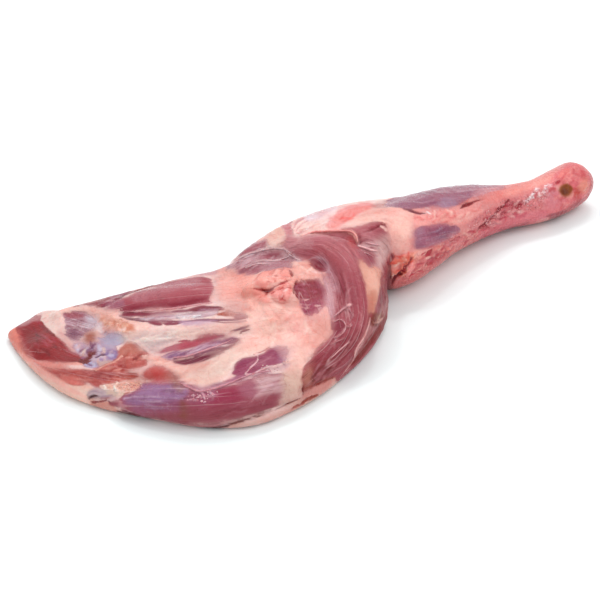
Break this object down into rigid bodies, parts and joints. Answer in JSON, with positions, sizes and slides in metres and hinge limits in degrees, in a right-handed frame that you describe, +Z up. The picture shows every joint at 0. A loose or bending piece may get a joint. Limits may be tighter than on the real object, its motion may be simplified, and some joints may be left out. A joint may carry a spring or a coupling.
{
  "type": "raw lamb shoulder",
  "caption": "Whole raw lamb shoulder lying fat side down: a flat blade part of fanned muscles and pale fat, tapering through the foreleg to a rounded knuckle.",
  "frame": {"origin": "centre of the bounding box on the table, under the meat", "axes": "+X from the blade's tip to the knuckle, +Y away from the near edge, +Z up"},
  "size_m": [0.49, 0.1924, 0.059],
  "materials": {
    "meat": "moist raw lamb: dark pink muscle, pale pink fat and thin silver sinew"
  },
  "bodies": {
    "root": {"lamb_shoulder": "meat"}
  },
  "joints": []
}
